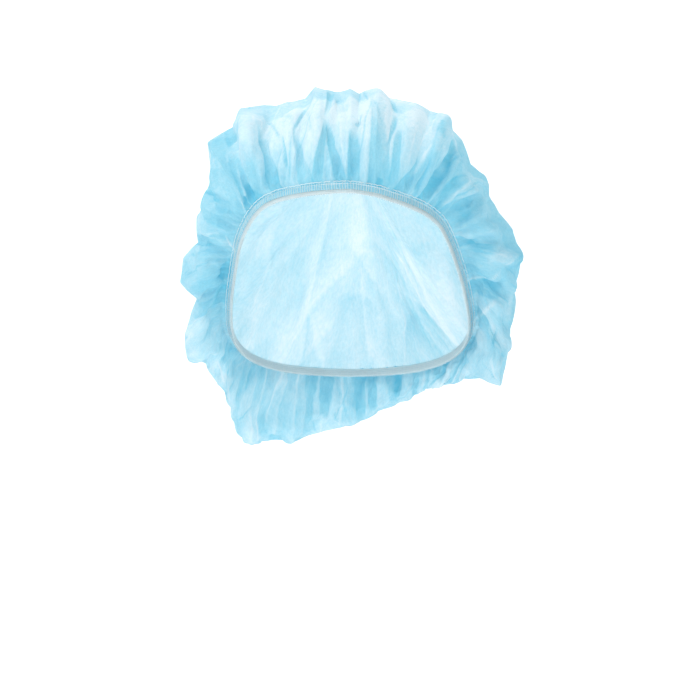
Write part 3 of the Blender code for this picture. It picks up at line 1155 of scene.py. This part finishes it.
def add_hem():
    """The folded, overlocked edge, with the small puckers between its stitches."""
    across = np.arange(hem_columns) / hem_columns
    turn = hem_turns(across)
    pucker = crisp_wave(across * overlock_stitches + 0.3 * cloth_noise(71, across, across * 0.0, 80, 1))
    wander = cloth_noise(72, across, across * 0.0, 60, 1)
    rows = []
    for corner in range(12):
        angle = 2.0 * math.pi * corner / 12
        up = 0.5 + 0.5 * math.copysign(abs(math.cos(angle)) ** 0.6, math.cos(angle))
        out = 0.5 + 0.5 * math.copysign(abs(math.sin(angle)) ** 0.8, math.sin(angle))
        raised = elastic_showing + hem_width * up + 0.00018 * wander * (0.3 + up)
        away = elastic_wall + seam_gap + hem_wall * (0.05 + 0.70 * out * (0.45 + 0.55 * up))
        away = away + 0.00020 * pucker * out
        rows.append(band_points(turn, raised, away))
    mesh = grid_mesh("hem_edge", np.array(rows), closing=False, closed_rows=True)
    hem = soft_material("hem_cloth", (0.56, 0.90, 0.98), (0.34, 0.76, 0.90), 900.0, 0.7, 0.0002, 0.40)
    return add_object("hem_edge", mesh, hem)


def add_elastic():
    """The elastic's off-white strip: four strands side by side, ribbed by their own crimp, with painted
    shade between the strands and in the crimp's troughs.
    """
    across = np.arange(hem_columns) / hem_columns
    turn = hem_turns(across)
    crimp = crisp_wave(across * overlock_stitches)
    drift = cloth_noise(81, across, across * 0.0, 90, 1)
    outer = []
    inner = []
    groove_shade = []
    for step in range(17):
        share = step / 16
        strand = abs(math.sin(math.pi * share * 4.0)) ** 0.5
        # Painted shade: deeper between the strands and in the troughs of the crimp
        groove_shade.append(0.6 * (1.0 - strand) + 0.10 * (1.0 - crimp))
        raised = 0.0001 + (elastic_width - 0.0002) * share + 0.00010 * drift * (1.0 - share)
        thick = elastic_wall * (0.55 + 0.33 * strand)
        outer.append(band_points(turn, raised, thick + 0.00007 * crimp * strand))
        thin = elastic_wall * (0.28 - 0.24 * strand)
        inner.append(band_points(turn, raised, thin - 0.00010 * crimp * strand))
    rows = np.array(outer + inner[::-1])
    mesh = grid_mesh("elastic_edge", rows, closing=False, closed_rows=True)
    add_values(mesh, "painted_groove_shade", np.array(groove_shade + groove_shade[::-1]))
    light = (0.97, 0.985, 0.98)
    dark = (0.84, 0.92, 0.93)
    band = soft_material("elastic_rubber", light, dark, 1400.0, 0.55, 0.00015, 0.45, groove_shade="painted_groove_shade")
    return add_object("elastic_edge", mesh, band)


def thread_curve(name, points, radius, material, closed=True):
    data = bpy.data.curves.new(name, "CURVE")
    data.dimensions = "3D"
    data.bevel_depth = radius
    data.bevel_resolution = 1
    data.use_fill_caps = True
    spline = data.splines.new("POLY")
    spline.points.add(len(points) - 1)
    spline.points.foreach_set("co", np.column_stack([points, np.ones(len(points))]).reshape(-1))
    spline.use_cyclic_u = closed
    return add_object(name, data, material)


# One stitch of each thread: share of the stitch along the hem, then the distance raised
# above the elastic's lower edge and the distance away from the head, in metres
OVERLOCK_STITCH = (
    ("step", "raised", "away"),
    (0.00, 0.0063, 0.0027),
    (0.10, 0.0046, 0.0028),
    (0.18, 0.0026, 0.0025),
    (0.24, 0.0018, 0.0015),
    (0.32, 0.0002, 0.0013),
    (0.38, -0.0003, 0.0005),
    (0.44, 0.0002, -0.0002),
    (0.58, 0.0040, -0.0002),
    (0.70, 0.0062, 0.0001),
    (0.90, 0.0063, 0.0018),
)
LOOPER_STITCH = (
    ("step", "raised", "away"),
    (0.00, 0.0020, 0.0016),
    (0.25, 0.0008, 0.0014),
    (0.50, 0.0003, 0.0014),
    (0.75, 0.0009, 0.0014),
)
NEEDLE_STITCH = (
    ("step", "raised", "away"),
    (0.00, 0.0064, 0.0036),
    (0.06, 0.0065, 0.0038),
    (0.45, 0.0066, 0.0039),
    (0.88, 0.0065, 0.0038),
    (0.94, 0.0064, 0.0036),
)
overlock_stitches = 372


def stitch_path(table, stitches, seed):
    """The same stitch again and again along the hem, none quite like the next."""
    rng = np.random.default_rng(seed)
    count = len(table) - 1
    wobble = np.repeat(rng.uniform(-0.16, 0.16, stitches), count)
    order = np.repeat(np.arange(stitches), count)
    share = (order + wobble + np.tile(column(table, "step"), stitches)) / stitches
    raised = np.tile(column(table, "raised"), stitches)
    raised += np.repeat(rng.uniform(-0.0002, 0.0002, stitches), count)
    return band_points(hem_turns(share), raised, np.tile(column(table, "away"), stitches))


def add_threads():
    thread = soft_material("hem_thread", (0.93, 0.98, 0.99), (0.78, 0.91, 0.95), 2600.0, 0.6, 0.0001, 0.25)
    overlock = stitch_path(OVERLOCK_STITCH, overlock_stitches, 5)
    looper = stitch_path(LOOPER_STITCH, overlock_stitches, 6)
    needle = stitch_path(NEEDLE_STITCH, overlock_stitches // 2, 7)
    return [
        thread_curve("overlock_thread", overlock, 0.00017, thread),
        thread_curve("looper_thread", looper, 0.00013, thread),
        thread_curve("needle_line", needle, 0.00024, thread),
    ]


def add_stage():
    """A pale floor that curves up into a backdrop."""
    profile = [(-2.6, 0.0), (1.1, 0.0)]
    for step in range(1, 13):
        angle = 0.5 * math.pi * step / 12
        profile.append((1.1 + 0.9 * math.sin(angle), 0.9 - 0.9 * math.cos(angle)))
    profile.append((2.0, 4.2))
    corners = []
    faces = []
    for y, z in profile:
        corners.append((-4.0, y, stage_height + z))
        corners.append((4.0, y, stage_height + z))
    for step in range(len(profile) - 1):
        low = 2 * step
        faces.append((low, low + 1, low + 3, low + 2))
    mesh = bpy.data.meshes.new("stage")
    mesh.from_pydata(corners, [], faces)
    for face in mesh.polygons:
        face.use_smooth = True
    n = Nodes("stage_paint")
    paint = n.add("ShaderNodeBsdfPrincipled")
    paint.inputs["Base Color"].default_value = (0.93, 0.935, 0.94, 1.0)
    paint.inputs["Roughness"].default_value = 0.9
    paint.inputs["Emission Color"].default_value = (1.0, 1.0, 1.0, 1.0)
    paint.inputs["Emission Strength"].default_value = 0.25
    out = n.add("ShaderNodeOutputMaterial")
    n.link(paint.outputs[0], out.inputs[0])
    stage = add_object("stage", mesh, n.material)


def add_light(name, place, target, size, power, colour):
    data = bpy.data.lights.new(name, "AREA")
    data.shape = "DISK"
    data.size = size
    data.energy = power
    data.color = colour
    item = bpy.data.objects.new(name, data)
    bpy.context.scene.collection.objects.link(item)
    item.location = place
    item.rotation_euler = (Vector(target) - Vector(place)).to_track_quat("-Z", "Y").to_euler()


def add_lights():
    world = bpy.data.worlds.new("studio")
    bpy.context.scene.world = world
    world.use_nodes = True
    world.node_tree.nodes["Background"].inputs[0].default_value = (0.97, 0.985, 1.0, 1.0)
    world.node_tree.nodes["Background"].inputs[1].default_value = 0.62
    middle = (0.0, 0.03, 0.0)
    add_light("key", (-1.1, -1.1, 1.5), middle, 1.6, 22.0, (1.0, 0.995, 0.98))
    add_light("fill", (1.3, -1.3, 0.5), middle, 1.2, 2.0, (0.97, 0.985, 1.0))
    add_light("back", (-0.2, 1.2, 1.5), middle, 1.6, 8.0, (1.0, 1.0, 1.0))


def add_camera():
    data = bpy.data.cameras.new("camera")
    data.lens = camera_lens
    data.sensor_width = camera_sensor
    camera = bpy.data.objects.new("camera", data)
    bpy.context.scene.collection.objects.link(camera)
    tilt = math.radians(camera_tilt)
    view = Vector((0.0, math.cos(tilt), -math.sin(tilt)))
    camera.location = Vector(camera_target) - view * camera_distance
    camera.rotation_euler = view.to_track_quat("-Z", "Y").to_euler()
    bpy.context.scene.camera = camera


def build():
    crown = add_crown()
    hem = add_hem()
    elastic = add_elastic()
    threads = add_threads()
    for piece in [crown, hem, elastic] + threads:
        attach(piece, "root")
    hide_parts("crown")
    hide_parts("hem_band")
    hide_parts("elastic")
    add_stage()
    add_lights()
    add_camera()
    bpy.context.scene.view_settings.view_transform = "Standard"


build()
